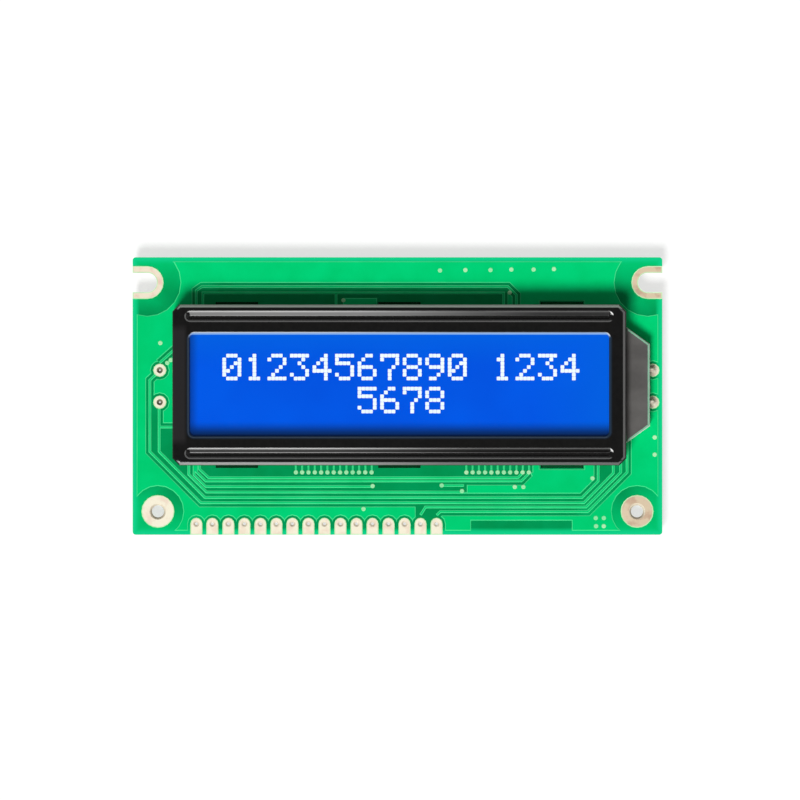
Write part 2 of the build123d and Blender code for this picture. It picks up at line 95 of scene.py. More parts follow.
# Photograph's frame: pixels per metre on the board's face, and the camera above it
PHOTO_SIZE = 800
PIXELS_PER_METRE = 6305.0
CAMERA_X = 0.4 * MM
CAMERA_Y = -0.634 * MM
CAMERA_DISTANCE = 0.9


def photo_place(x, y, height):
    """The place on a level plane that shows at a pixel of the photograph."""
    shrink = (CAMERA_DISTANCE - (height - BOARD_TOP)) / CAMERA_DISTANCE
    scale = PIXELS_PER_METRE / shrink
    return (
        CAMERA_X + (x - PHOTO_SIZE / 2) / scale,
        CAMERA_Y - (y - PHOTO_SIZE / 2) / scale,
    )


# Materials

FINE_BUMP = 0.02 * MM
LAND_BUMP = 0.03 * MM
FILM_BUMP = 0.01 * MM
DISPLAY_GLOW = 0.35


class Nodes:
    """A short way to build one material's node tree."""

    def __init__(self, name):
        self.material = bpy.data.materials.new(name)
        self.material.use_nodes = True
        self.tree = self.material.node_tree
        self.shader = self.tree.nodes["Principled BSDF"]
        self.place = self.tree.nodes.new("ShaderNodeTexCoord").outputs["Object"]

    def link(self, source, target):
        self.tree.links.new(source, target)

    def set(self, **values):
        """Sets the shader's own sockets."""
        names = {
            "rough": "Roughness",
            "specular": "Specular IOR Level",
            "transmission": "Transmission Weight",
            "ior": "IOR",
            "glow": "Emission Strength",
        }
        for key, value in values.items():
            self.shader.inputs[names[key]].default_value = value

    def noise(self, scale, detail=3.0, stretch=None):
        """Noise in the object's own place, from about 0.3 to 0.7."""
        node = self.tree.nodes.new("ShaderNodeTexNoise")
        node.inputs["Scale"].default_value = scale
        node.inputs["Detail"].default_value = detail
        if stretch:
            mapping = self.tree.nodes.new("ShaderNodeMapping")
            mapping.inputs["Scale"].default_value = stretch
            self.link(self.place, mapping.inputs["Vector"])
            self.link(mapping.outputs["Vector"], node.inputs["Vector"])
        else:
            self.link(self.place, node.inputs["Vector"])
        return node.outputs["Fac"]

    def spread(self, value, low, high, to_low=0.0, to_high=1.0, smooth=False):
        """A value's range stretched over another range, and held at its ends."""
        node = self.tree.nodes.new("ShaderNodeMapRange")
        node.interpolation_type = "SMOOTHSTEP" if smooth else "LINEAR"
        for number, amount in ((1, low), (2, high), (3, to_low), (4, to_high)):
            node.inputs[number].default_value = amount
        self.link(value, node.inputs[0])
        return node.outputs[0]

    def math(self, operation, first, second=None):
        node = self.tree.nodes.new("ShaderNodeMath")
        node.operation = operation
        for number, value in enumerate((first, second)):
            if value is None:
                continue
            if isinstance(value, (int, float)):
                node.inputs[number].default_value = value
            else:
                self.link(value, node.inputs[number])
        return node.outputs[0]

    def product(self, *values):
        """All the values multiplied together."""
        result = values[0]
        for value in values[1:]:
            result = self.math("MULTIPLY", result, value)
        return result

    def distance(self, value, middle):
        """How far a value lies from a middle, to either side."""
        return self.math("ABSOLUTE", self.math("SUBTRACT", value, middle))

    def mix(self, amount, first, second):
        """The first colour where the amount is nothing, and the second where it is one."""
        node = self.tree.nodes.new("ShaderNodeMix")
        node.data_type = "RGBA"
        self.link(amount, node.inputs[0])
        for number, value in ((6, first), (7, second)):
            if isinstance(value, tuple):
                node.inputs[number].default_value = (*value, 1.0)
            else:
                self.link(value, node.inputs[number])
        return node.outputs[2]

    def axis(self, letter):
        """One coordinate of the place."""
        node = self.tree.nodes.new("ShaderNodeSeparateXYZ")
        self.link(self.place, node.inputs[0])
        return node.outputs[letter]

    def normal(self):
        return self.tree.nodes.new("ShaderNodeNewGeometry").outputs["Normal"]

    def level(self):
        """One on level faces and nothing on upright ones."""
        node = self.tree.nodes.new("ShaderNodeSeparateXYZ")
        self.link(self.normal(), node.inputs[0])
        return self.spread(self.math("ABSOLUTE", node.outputs["Z"]), 0.4, 0.6)

    def facing(self, direction, far, near):
        """One where the surface faces a direction, fading to nothing between two angles."""
        node = self.tree.nodes.new("ShaderNodeVectorMath")
        node.operation = "DOT_PRODUCT"
        self.link(self.normal(), node.inputs[0])
        node.inputs[1].default_value = Vector(direction).normalized()
        low, high = math.cos(math.radians(far)), math.cos(math.radians(near))
        return self.spread(node.outputs["Value"], low, high, smooth=True)

    def colour(self, source, glowing=False):
        self.link(source, self.shader.inputs["Base Color"])
        if glowing:
            self.link(source, self.shader.inputs["Emission Color"])

    def roughness(self, source):
        self.link(source, self.shader.inputs["Roughness"])

    def patches(self, noise_scale, first, second, detail=3.0):
        """Two colours in soft patches."""
        cloud = self.spread(self.noise(noise_scale, detail), 0.35, 0.65)
        return self.mix(cloud, first, second)

    def uneven_gloss(self, noise_scale, low, high):
        self.roughness(self.spread(self.noise(noise_scale), 0.3, 0.7, low, high))

    def bump(self, height, strength, distance=FINE_BUMP):
        node = self.tree.nodes.new("ShaderNodeBump")
        node.inputs["Strength"].default_value = strength
        node.inputs["Distance"].default_value = distance
        self.link(height, node.inputs["Height"])
        self.link(node.outputs["Normal"], self.shader.inputs["Normal"])


def surface(name, first, second, scale, rough, specular, bump, fine=9000.0, **more):
    """A finish with a slight change of colour and gloss over it, and a fine texture."""
    made = Nodes(name)
    made.set(specular=specular, **more)
    made.colour(made.patches(scale, first, second))
    made.uneven_gloss(scale * 3, rough * 0.85, rough * 1.15)
    made.bump(made.noise(fine, 2.0), bump)
    return made.material


LACQUER_SPECULAR = 0.015
LACQUER_GRAIN = 2600.0
LAND_DARKENING = (15 * MM, 38 * MM)
CORNER_LENGTH = (8 * MM, 14 * MM)
CORNER_WIDTH = (5 * MM, 9 * MM)
CORNER_FADE = (1.0 * MM, 6.5 * MM)
EDGE_FADE = (0.4 * MM, 1.1 * MM)
RIM_FADE = (0.1 * MM, 1.2 * MM)


def lacquer_grain(made):
    """The lacquer's fine unevenness."""
    made.bump(made.noise(LACQUER_GRAIN, 2.0), 0.06)


def board_finish():
    """Green lacquer on the faces, lighter at edges and corners, and bare laminate on the sides."""
    made = Nodes("lacquer_on_laminate")
    made.set(specular=LACQUER_SPECULAR)
    edge_x = made.math("SUBTRACT", BOARD_HALF_LENGTH, made.math("ABSOLUTE", made.axis("X")))
    edge_y = made.math("SUBTRACT", BOARD_HALF_WIDTH, made.math("ABSOLUTE", made.axis("Y")))
    edge = made.math("MINIMUM", edge_x, edge_y)
    between_corners = made.math(
        "MAXIMUM", made.spread(edge_x, *CORNER_LENGTH), made.spread(edge_y, *CORNER_WIDTH)
    )
    inner = made.math(
        "MAXIMUM",
        made.spread(edge, *CORNER_FADE),
        made.product(between_corners, made.spread(edge, *EDGE_FADE)),
    )
    lacquer = made.patches(260.0, (0.0, 0.275, 0.076), (0.0, 0.315, 0.094))
    near_edge = made.patches(260.0, (0.0, 0.50, 0.14), (0.0, 0.55, 0.165))
    face = made.mix(inner, near_edge, lacquer)
    face = made.mix(made.spread(edge, *RIM_FADE, smooth=True), (0.005, 0.62, 0.25), face)
    weave = made.spread(made.noise(1800.0, 2.0, (1.0, 1.0, 6.0)), 0.35, 0.65)
    side = made.mix(weave, (0.30, 0.50, 0.20), (0.46, 0.62, 0.30))
    made.colour(made.mix(made.level(), side, face))
    made.uneven_gloss(700.0, 0.26, 0.36)
    lacquer_grain(made)
    return made.material


def mask_finish(name, first, second):
    """Green lacquer over copper."""
    made = Nodes(name)
    made.set(specular=LACQUER_SPECULAR)
    made.colour(made.patches(230.0, first, second))
    made.uneven_gloss(900.0, 0.24, 0.34)
    lacquer_grain(made)
    return made.material


def land_finish(name, left_cream, left_rose):
    """Plated copper, cream with rosy patches, and darker towards the right end."""
    made = Nodes(name)
    made.set(specular=0.05)
    patch = made.spread(made.noise(700.0, 4.0), 0.46, 0.68, smooth=True)
    right = made.spread(made.axis("X"), *LAND_DARKENING)
    cream = made.mix(right, left_cream, (0.69, 0.56, 0.39))
    rose = made.mix(right, left_rose, (0.56, 0.39, 0.27))
    made.colour(made.mix(patch, cream, rose))
    made.uneven_gloss(2500.0, 0.36, 0.5)
    made.bump(made.noise(3200.0), 0.3, LAND_BUMP)
    return made.material


# Zones of the bezel's painted highlights and reflections. Each pair is where a zone starts and
# where it is full.
# The left end of the frame is lighter: a painted sheen
LEFT_END_SHEEN = (bezel_low.x + 2.4 * MM, bezel_low.x + 1.8 * MM)
LEFT_END_SHEEN_HALF_WIDTH = (9.6 * MM, 8.4 * MM)
OUTER_BEND = (11.85 * MM, 12.0 * MM)
UPPER_HALF = (DISPLAY_Y, DISPLAY_Y + 1 * MM)
SHEEN_FADE = (-18 * MM, 14 * MM)
WALL_SHEEN_FADE = (-8 * MM, 26 * MM)
GROOVE_CREST = (BEZEL_TOP - 0.30 * MM, BEZEL_TOP - 0.15 * MM)
GROOVE_BRINK = (BEZEL_TOP - 0.14 * MM, BEZEL_TOP - 0.11 * MM)
RIGHT_BEND = (bezel_high.x - 0.75 * MM, bezel_high.x - 0.6 * MM)
GLINT_START = (29 * MM, 30 * MM)
UPPER_EDGE = (DISPLAY_Y + 7.4 * MM, DISPLAY_Y + 7.9 * MM)
# Reaches of the painted blue reflection beside the window, and of the painted pale highlight above
# it
BLUE_REACH = (0.55 * MM, 0.15 * MM)
PALE_BLUE_REACH = (0.26 * MM, 0.12 * MM)
BACK_BRINKS = ((0, 0.36, 0.93), (0.26, 0.26, 0.93), (0.36, 0, 0.93))


def window_distance(made, across, along):
    """How far a place lies outside the window's rounded outline."""
    past = (
        made.math("SUBTRACT", along, WINDOW_LENGTH / 2 - WINDOW_CORNER_R),
        made.math("SUBTRACT", across, WINDOW_WIDTH / 2 - WINDOW_CORNER_R),
    )
    squares = [
        made.math("POWER", made.math("MAXIMUM", amount, 0.0), 2.0) for amount in past
    ]
    reach = made.math("SQRT", made.math("ADD", *squares))
    return made.math("SUBTRACT", reach, WINDOW_CORNER_R)


def bezel_finish():
    """Glossy black paint, with painted highlights on its bends and grooves and a painted blue
    reflection beside the lit window.
    """
    made = Nodes("black_paint_with_painted_highlights")
    made.set(specular=0.08)
    x, y, z = (made.axis(letter) for letter in "XYZ")
    across = made.distance(y, DISPLAY_Y)
    along = made.distance(x, DISPLAY_X)
    outer = made.spread(across, *OUTER_BEND)
    inner = made.math("SUBTRACT", 1.0, outer)
    upper_half = made.spread(y, *UPPER_HALF)
    fade = made.spread(x, *SHEEN_FADE, 1.0, 0.42, smooth=True)
    wall_fade = made.spread(x, *WALL_SHEEN_FADE, 1.0, 0.12, smooth=True)
    crest = made.spread(z, *GROOVE_CREST)
    half_crest = made.spread(z, *GROOVE_CREST, 0.5, 1.0)
    brink = made.spread(z, *GROOVE_BRINK)
    crest_fade = made.math("MAXIMUM", made.product(fade, brink), wall_fade)
    window = window_distance(made, across, along)
    upper_edge = made.spread(y, *UPPER_EDGE)
    # Painted reflection of the window's blue light on the frame beside it, where the paint is also
    # rougher
    beside_window = made.product(
        made.spread(window, *BLUE_REACH), made.math("SUBTRACT", 1.0, upper_edge)
    )
    # Painted pale blue highlight on the rim above the window
    highlight_above_window = made.product(upper_edge, made.spread(window, *PALE_BLUE_REACH))

    # Painted light over the paint: highlights on bends and groove walls, a sheen on the left end,
    # a glint at the grooves' right ends, and reflections of the window's light
    painted_light_zones = [
        ((0.0165, 0.0152, 0.0158),
         [made.spread(x, *LEFT_END_SHEEN), made.spread(across, *LEFT_END_SHEEN_HALF_WIDTH)]),
        ((0.18, 0.18, 0.18),
         [made.facing((0, -0.63, 0.777), far=9, near=4), wall_fade, upper_half, inner]),
        ((0.42, 0.42, 0.415),
         [made.facing((-0.02, -0.40, 0.91), far=17, near=7), fade, crest_fade, half_crest,
          inner]),
        ((0.30, 0.30, 0.295), [made.facing((0, -0.62, 0.78), far=30, near=15), fade, outer]),
        ((0.25, 0.29, 0.255), [made.facing((0, 0.68, 0.73), far=36, near=18), outer]),
    ]
    painted_light_zones += [
        ((0.108, 0.108, 0.107), [made.facing(direction, far=16, near=9), brink, inner])
        for direction in BACK_BRINKS
    ]
    painted_light_zones += [
        ((0.115, 0.113, 0.112),
         [made.facing((0.486, 0, 0.874), far=20, near=9), made.spread(x, *RIGHT_BEND)]),
        ((0.82, 0.82, 0.81),
         [made.facing((-0.34, -0.30, 0.89), far=14, near=7), inner, crest,
          made.spread(x, *GLINT_START)]),
        ((0.012, 0.031, 0.062), [beside_window]),
        ((0.30, 0.45, 0.70), [highlight_above_window]),
    ]
    # The black paint itself; the loop below mixes the painted highlights and reflections over it
    paint = made.patches(1500.0, (0.0024, 0.0023, 0.0022), (0.0044, 0.0042, 0.004))
    for colour, amounts in painted_light_zones:
        paint = made.mix(made.product(*amounts), paint, colour)
    made.colour(paint)
    gloss = made.spread(made.noise(400.0), 0.3, 0.7, 0.15, 0.19)
    made.roughness(made.math("MAXIMUM", gloss, made.product(beside_window, 0.5)))
    made.bump(made.noise(150.0, 1.0), 0.02)
    return made.material


# Zones of the lit film. Each pair is where a zone starts and where it is full.
LIT_LOW = film_low.y + POLARISER_MARGIN
LIT_LEFT = film_low.x + POLARISER_MARGIN
LIT_RIGHT = film_high.x - POLARISER_MARGIN
LIT_TOP = film_high.y - POLARISER_MARGIN
WINDOW_TOP = DISPLAY_Y + WINDOW_WIDTH / 2
# Painted shade of the bezel's frame on the film, low and left
BEZEL_SHADE_FROM_LOW = (LIT_LOW + 0.2 * MM, LIT_LOW + 2.5 * MM)
BEZEL_SHADE_FROM_LEFT = (LIT_LEFT, LIT_LEFT + 1.5 * MM)
PALE_RIGHT = (LIT_RIGHT - 12 * MM, LIT_RIGHT)
PALE_TOP = (LIT_TOP - 5 * MM, LIT_TOP)
# A painted reflection of the window's rim, as a pale band under the window's top edge
UPPER_SHINE = (WINDOW_TOP - 0.18 * MM, WINDOW_TOP - 0.08 * MM)
COVERED_ALONG = (WINDOW_LENGTH / 2 + 0.25 * MM, WINDOW_LENGTH / 2 + 0.6 * MM)
COVERED_ACROSS = (WINDOW_WIDTH / 2 + 0.25 * MM, WINDOW_WIDTH / 2 + 0.6 * MM)


def display_finish():
    """Backlit blue film with a pale painted reflection along its upper edge, and painted bezel
    shade low and left.
    """
    made = Nodes("blue_film")
    made.set(specular=0.03, rough=0.12, glow=DISPLAY_GLOW)
    x = made.axis("X")
    y = made.axis("Y")
    # Painted shade of the bezel's frame: darker low and left
    lit = made.product(
        made.spread(y, *BEZEL_SHADE_FROM_LOW, smooth=True),
        made.spread(x, *BEZEL_SHADE_FROM_LEFT, 0.45, 1.0, smooth=True),
    )
    pale = made.math("MAXIMUM", made.spread(x, *PALE_RIGHT), made.spread(y, *PALE_TOP))
    covered = made.math(
        "MAXIMUM",
        made.spread(made.distance(x, DISPLAY_X), *COVERED_ALONG),
        made.spread(made.distance(y, DISPLAY_Y), *COVERED_ACROSS),
    )
    glow = made.patches(90.0, (0.0, 0.062, 0.54), (0.0, 0.072, 0.58), detail=2.0)
    glow = made.mix(pale, glow, (0.0, 0.082, 0.54))
    glow = made.mix(lit, (0.001, 0.017, 0.092), glow)
    # Painted reflection of the rim along the window's top edge
    glow = made.mix(made.spread(y, *UPPER_SHINE), glow, (0.13, 0.30, 0.56))
    glow = made.mix(covered, glow, (0.002, 0.006, 0.02))
    made.colour(glow, glowing=True)
    made.bump(made.noise(4000.0, 2.0), 0.03, FILM_BUMP)
    return made.material


def dot_finish():
    """Dots that pass the light of the lamps."""
    made = Nodes("lit_dots")
    made.set(specular=0.05, rough=0.2, glow=DISPLAY_GLOW)
    made.colour(made.patches(700.0, (0.60, 0.68, 0.74), (0.66, 0.73, 0.76)), glowing=True)
    return made.material


def glass_finish():
    """Clear glass with dull cut edges."""
    made = Nodes("clear_glass")
    made.set(specular=0.5, ior=1.5)
    face = made.level()
    clear = made.mix(made.noise(300.0), (0.80, 0.93, 0.92), (0.88, 0.97, 0.96))
    made.colour(made.mix(face, (0.05, 0.09, 0.08), clear))
    made.link(made.product(face, 0.9), made.shader.inputs["Transmission Weight"])
    made.uneven_gloss(1500.0, 0.02, 0.06)
    return made.material


def strip_finish():
    """Thin conducting layers in a pink rubber bar."""
    made = Nodes("layered_rubber")
    made.set(specular=0.3, rough=0.6)
    wave = made.tree.nodes.new("ShaderNodeTexWave")
    wave.bands_direction = "X"
    wave.inputs["Scale"].default_value = 1800.0
    made.link(made.place, wave.inputs["Vector"])
    made.colour(made.mix(wave.outputs["Fac"], (0.62, 0.40, 0.44), (0.06, 0.05, 0.05)))
    return made.material


finishes = {
    "board": board_finish(),
    "mask": mask_finish("lacquer_on_copper", (0.0, 0.585, 0.160), (0.0, 0.635, 0.186)),
    # Lighter green on the copper's sloping edges: a painted highlight, over what the slope itself
    # catches
    "mask_edge_sheen": mask_finish("lacquer_on_copper_edge_sheen", (0.05, 0.72, 0.27), (0.08, 0.78, 0.31)),
    "via": mask_finish("lacquer_on_via", (0.28, 0.78, 0.38), (0.48, 0.84, 0.47)),
    "rim": mask_finish("lacquer_on_land_edge", (0.50, 0.82, 0.44), (0.66, 0.90, 0.56)),
    "land": land_finish("plated_copper", (0.91, 0.85, 0.67), (0.86, 0.72, 0.57)),
    "slot_land": land_finish("plated_slot", (0.86, 0.76, 0.60), (0.80, 0.61, 0.48)),
    "bezel": bezel_finish(),
    "display": display_finish(),
    "dots": dot_finish(),
    "glass": glass_finish(),
    "strip": strip_finish(),
    "moulding": surface(
        "white_moulding", (0.62, 0.69, 0.64), (0.70, 0.76, 0.71),
        scale=300.0, rough=0.45, specular=0.1, bump=0.1,
    ),
    "film": surface(
        "white_film", (0.88, 0.89, 0.88), (0.93, 0.93, 0.92),
        scale=500.0, rough=0.5, specular=0.3, bump=0.08,
    ),
    "guide": surface(
        "clear_moulding", (0.86, 0.93, 0.97), (0.92, 0.96, 1.0),
        scale=300.0, rough=0.08, specular=0.5, bump=0.02, transmission=0.85, ior=1.49,
    ),
    "tail": surface(
        "dark_film", (0.090, 0.086, 0.083), (0.124, 0.119, 0.114),
        scale=260.0, rough=0.42, specular=0.03, bump=0.12, fine=5200.0,
    ),
    "film_edge": surface(
        "pale_film_edge", (0.20, 0.42, 0.28), (0.27, 0.50, 0.36),
        scale=900.0, rough=0.5, specular=0.05, bump=0.1,
    ),
    "gap": surface(
        "shaded_gap", (0.002, 0.009, 0.004), (0.004, 0.015, 0.007),
        scale=900.0, rough=0.7, specular=0.02, bump=0.1,
    ),
    "bore": surface(
        "plated_bore", (0.70, 0.61, 0.47), (0.82, 0.76, 0.60),
        scale=900.0, rough=0.45, specular=0.05, bump=0.1,
    ),
    "deep_bore": surface(
        "shaded_bore", (0.20, 0.20, 0.13), (0.30, 0.28, 0.19),
        scale=900.0, rough=0.5, specular=0.05, bump=0.1,
    ),
    "solder": surface(
        "tinned_metal", (0.82, 0.76, 0.63), (0.58, 0.47, 0.37),
        scale=1100.0, rough=0.5, specular=0.04, bump=0.2, fine=3000.0,
    ),
    "lamp": surface(
        "lamp_lens", (0.88, 0.78, 0.34), (0.95, 0.88, 0.50),
        scale=900.0, rough=0.3, specular=0.5, bump=0.05,
    ),
    "lamp_board": surface(
        "white_lacquer", (0.80, 0.80, 0.77), (0.88, 0.88, 0.85),
        scale=700.0, rough=0.4, specular=0.4, bump=0.08,
    ),
    "seal": surface(
        "cured_resin", (0.68, 0.60, 0.40), (0.78, 0.70, 0.50),
        scale=800.0, rough=0.3, specular=0.5, bump=0.05,
    ),
    "dome": surface(
        "black_resin", (0.011, 0.011, 0.012), (0.022, 0.021, 0.022),
        scale=260.0, rough=0.16, specular=0.5, bump=0.12, fine=1100.0,
    ),
    "resistor": surface(
        "black_glaze", (0.018, 0.018, 0.02), (0.035, 0.035, 0.037),
        scale=900.0, rough=0.35, specular=0.5, bump=0.1,
    ),
    "capacitor": surface(
        "tan_ceramic", (0.40, 0.27, 0.15), (0.50, 0.35, 0.21),
        scale=900.0, rough=0.5, specular=0.4, bump=0.15,
    ),
}
node_finishes = {
    "circuit_board": "board",
    "front_copper": "mask",
    "back_copper": "mask",
    "header_pads": "land",
    "mount_hole_plating": "land",
    "corner_slot_plating": "slot_land",
    "lamp_pads": "land",
    "bezel": "bezel",
    "front_polariser": "display",
    "front_glass": "glass",
    "rear_glass": "glass",
    "rear_polariser": "display",
    "fill_port_plug": "seal",
    "upper_contact_strip": "strip",
    "lower_contact_strip": "strip",
    "backlight_frame": "moulding",
    "reflector_film": "film",
    "light_guide": "guide",
    "diffuser_film": "film",
    "lamp_board": "lamp_board",
    "lamps": "lamp",
    "tail_cover": "tail",
    "lamp_leads": "solder",
    "lamp_solder": "solder",
    "resin_domes": "dome",
    "resistor_bodies": "resistor",
    "resistor_caps": "solder",
    "capacitor_bodies": "capacitor",
    "capacitor_caps": "solder",
}
for name, finish in node_finishes.items():
    slots = nodes[name].data.materials
    slots.clear()
    slots.append(finishes[finish])


# Building pieces

SEAM = 0.0005 * MM
FLAT = 0.002 * MM


def keep_piece(name, mesh_data, materials, smooth_angle=None):
    """Turns a bmesh into a piece that rides with the part."""
    mesh = bpy.data.meshes.new(name)
    if smooth_angle:
        for face in mesh_data.faces:
            face.smooth = True
        for edge in mesh_data.edges:
            if len(edge.link_faces) == 2 and edge.calc_face_angle() > math.radians(smooth_angle):
                edge.smooth = False
    mesh_data.to_mesh(mesh)
    mesh_data.free()
    piece = bpy.data.objects.new(name, mesh)
    scene.collection.objects.link(piece)
    for key in materials:
        mesh.materials.append(finishes[key])
    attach(piece, "root")
    return piece


def welded(node):
    """A working copy of a solid's mesh, with the points of its seams joined."""
    made = bmesh.new()
    made.from_mesh(nodes[node].data)
    bmesh.ops.remove_doubles(made, verts=made.verts, dist=SEAM)
    return made


# Lacquer over the copper

SLOPE_WIDTH = 0.11 * MM
LONGEST_MITRE = 3.0 * SLOPE_WIDTH
NEAR_POINTS = 0.045 * MM


def relief(name, node, face_height, board_height):
    """Lacquered copper with sloping edges, drawn from the outline of a copper solid."""
    made = welded(node)
    away = [
        face for face in made.faces
        if any(abs(vert.co.z - face_height) > FLAT for vert in face.verts)
    ]
    bmesh.ops.delete(made, geom=away, context="FACES")
    bmesh.ops.dissolve_limit(
        made, angle_limit=math.radians(1), verts=made.verts[:], edges=made.edges[:]
    )
    bmesh.ops.remove_doubles(made, verts=made.verts, dist=NEAR_POINTS)
    ring = bmesh.ops.inset_region(
        made, faces=made.faces[:], thickness=SLOPE_WIDTH, use_even_offset=True, use_boundary=True
    )["faces"]
    # The sloping edge ring takes the lighter green of the painted edge highlight
    for face in ring:
        face.material_index = 1
    rim = [vert for vert in made.verts if any(edge.is_boundary for edge in vert.link_edges)]
    for outer in rim:
        for edge in outer.link_edges:
            inner = edge.other_vert(outer)
            shift = inner.co - outer.co
            if not edge.is_boundary and shift.length > LONGEST_MITRE:
                inner.co = outer.co + shift * (LONGEST_MITRE / shift.length)
    for vert in rim:
        vert.co.z = board_height
    piece = keep_piece(name, made, ("mask", "mask_edge_sheen"))
    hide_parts(node)


relief("front_lacquer", "front_copper", COPPER_TOP, BOARD_TOP)
relief("back_lacquer", "back_copper", BACK_BOTTOM, BOARD_BOTTOM)


# Bezel with rounded groove edges

GROOVE_LENGTH = 67.9 * MM
GROOVE_WIDTH = 1.95 * MM
GROOVE_DEPTH = 0.45 * MM
GROOVE_OFFSET = 10.8 * MM
GROOVE_EDGE_R = 0.55 * MM
GROOVE_FLOOR_R = 0.35 * MM
GROOVE_SLOPE = math.radians(39)
RIM_R = 0.36 * MM
UPWARD = 0.3
ARC_STEPS = 8
END_STEPS = 24


def groove_profile():
    """Distance inwards from the groove's outline, and depth, from its edge to its floor."""
    points = []
    for step in range(ARC_STEPS + 1):
        angle = GROOVE_SLOPE * step / ARC_STEPS
        points.append((
            GROOVE_EDGE_R * math.sin(angle), GROOVE_EDGE_R * (1 - math.cos(angle))
        ))
    edge_run, edge_drop = points[-1]
    floor_run = GROOVE_FLOOR_R * math.sin(GROOVE_SLOPE)
    wall_run = GROOVE_WIDTH / 2 - edge_run - floor_run
    wall_drop = wall_run * math.tan(GROOVE_SLOPE)
    floor_drop = GROOVE_FLOOR_R * (1 - math.cos(GROOVE_SLOPE))
    depth = edge_drop + wall_drop + floor_drop
    for step in range(ARC_STEPS):
        angle = GROOVE_SLOPE * (1 - step / ARC_STEPS)
        points.append((
            GROOVE_WIDTH / 2 - GROOVE_FLOOR_R * math.sin(angle),
            depth - GROOVE_FLOOR_R * (1 - math.cos(angle)),
        ))
    return points


def groove_ring(made, middle_y, inset, depth):
    """One closed ring of points round a groove."""
    radius = GROOVE_WIDTH / 2 - inset
    reach = (GROOVE_LENGTH - GROOVE_WIDTH) / 2
    ring = []
    for side in (1, -1):
        for step in range(END_STEPS + 1):
            angle = math.pi * step / END_STEPS - math.pi / 2
            ring.append(made.verts.new((
                DISPLAY_X + side * (reach + radius * math.cos(angle)),
                DISPLAY_Y + middle_y + side * radius * math.sin(angle),
                BEZEL_TOP - depth,
            )))
    return ring


def bridge(made, one, two):
    """Faces between two rings of as many points."""
    count = len(one)
    for number in range(count):
        following = (number + 1) % count
        made.faces.new((one[number], one[following], two[following], two[number]))


def on_groove(place):
    """True over a groove's outline."""
    across = abs(abs(place.y - DISPLAY_Y) - GROOVE_OFFSET)
    along = abs(place.x - DISPLAY_X)
    return across < GROOVE_WIDTH / 2 + FLAT and along < GROOVE_LENGTH / 2 + FLAT


def on_window(place, margin):
    """True in the window's opening, or within a margin round it."""
    return (
        abs(place.x - DISPLAY_X) < WINDOW_LENGTH / 2 + margin
        and abs(place.y - DISPLAY_Y) < WINDOW_WIDTH / 2 + margin
    )


def window_outward(place):
    """The level direction that leads away from the window's opening at its edge."""
    x = place.x - DISPLAY_X
    y = place.y - DISPLAY_Y
    past_x = abs(x) - (WINDOW_LENGTH / 2 - WINDOW_CORNER_R)
    past_y = abs(y) - (WINDOW_WIDTH / 2 - WINDOW_CORNER_R)
    away = Vector((
        math.copysign(max(past_x, 0), x), math.copysign(max(past_y, 0), y), 0
    ))
    return away.normalized()


def rolled_rim(made, loop):
    """Rounds the window's edge off, from the wall of the opening up to the top."""
    below = {vert: vert for edge in loop for vert in edge.verts}
    outward = {vert: window_outward(vert.co) for vert in below}
    start = {vert: vert.co.copy() for vert in below}
    pairs = [tuple(edge.verts) for edge in loop]
    for step in range(ARC_STEPS, -1, -1):
        angle = math.pi / 2 * step / ARC_STEPS
        above = {}
        for vert, place in start.items():
            shift = outward[vert] * RIM_R * (1 - math.sin(angle))
            height = BEZEL_TOP - RIM_R * (1 - math.cos(angle))
            point = Vector((place.x + shift.x, place.y + shift.y, height))
            if step == ARC_STEPS:
                vert.co = point
                above[vert] = vert
            else:
                above[vert] = made.verts.new(point)
        if step < ARC_STEPS:
            for one, two in pairs:
                made.faces.new((below[one], below[two], above[two], above[one]))
        below = above
    return [made.edges.get((below[one], below[two])) for one, two in pairs]


def bezel_shell():
    """The bezel with its grooves and its window's rim drawn anew, and rounded."""
    made = welded("bezel")
    away = []
    for face in made.faces:
        middle = face.calc_center_median()
        if face.normal.z < UPWARD or middle.z < BEZEL_TOP - GROOVE_DEPTH - FLAT:
            continue
        top = all(abs(vert.co.z - BEZEL_TOP) < FLAT for vert in face.verts)
        if top or on_groove(middle) or on_window(middle, RIM_R):
            away.append(face)
    bmesh.ops.delete(made, geom=away, context="FACES")
    rim = []
    window = []
    for edge in made.edges:
        if not edge.is_boundary:
            continue
        middle = (edge.verts[0].co + edge.verts[1].co) / 2
        if on_window(middle, FLAT):
            window.append(edge)
        elif not on_groove(middle):
            rim.append(edge)
    rim += rolled_rim(made, window)
    profile = groove_profile()
    for middle_y in (GROOVE_OFFSET, -GROOVE_OFFSET):
        rings = [groove_ring(made, middle_y, inset, depth) for inset, depth in profile]
        for one, two in zip(rings, rings[1:]):
            bridge(made, one, two)
        made.faces.new(rings[-1])
        outline = rings[0]
        for number, vert in enumerate(outline):
            rim.append(made.edges.get((vert, outline[(number + 1) % len(outline)])))
    bmesh.ops.triangle_fill(made, edges=rim, use_beauty=True, normal=(0, 0, 1))
    bmesh.ops.recalc_face_normals(made, faces=made.faces)
    piece = keep_piece("bezel_shell", made, ("bezel",), smooth_angle=28)
    weighted = piece.modifiers.new("weighted", "WEIGHTED_NORMAL")
    weighted.keep_sharp = True
    weighted.weight = 100
    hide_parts("bezel")


bezel_shell()


# Lit dots of the display, in generic digits

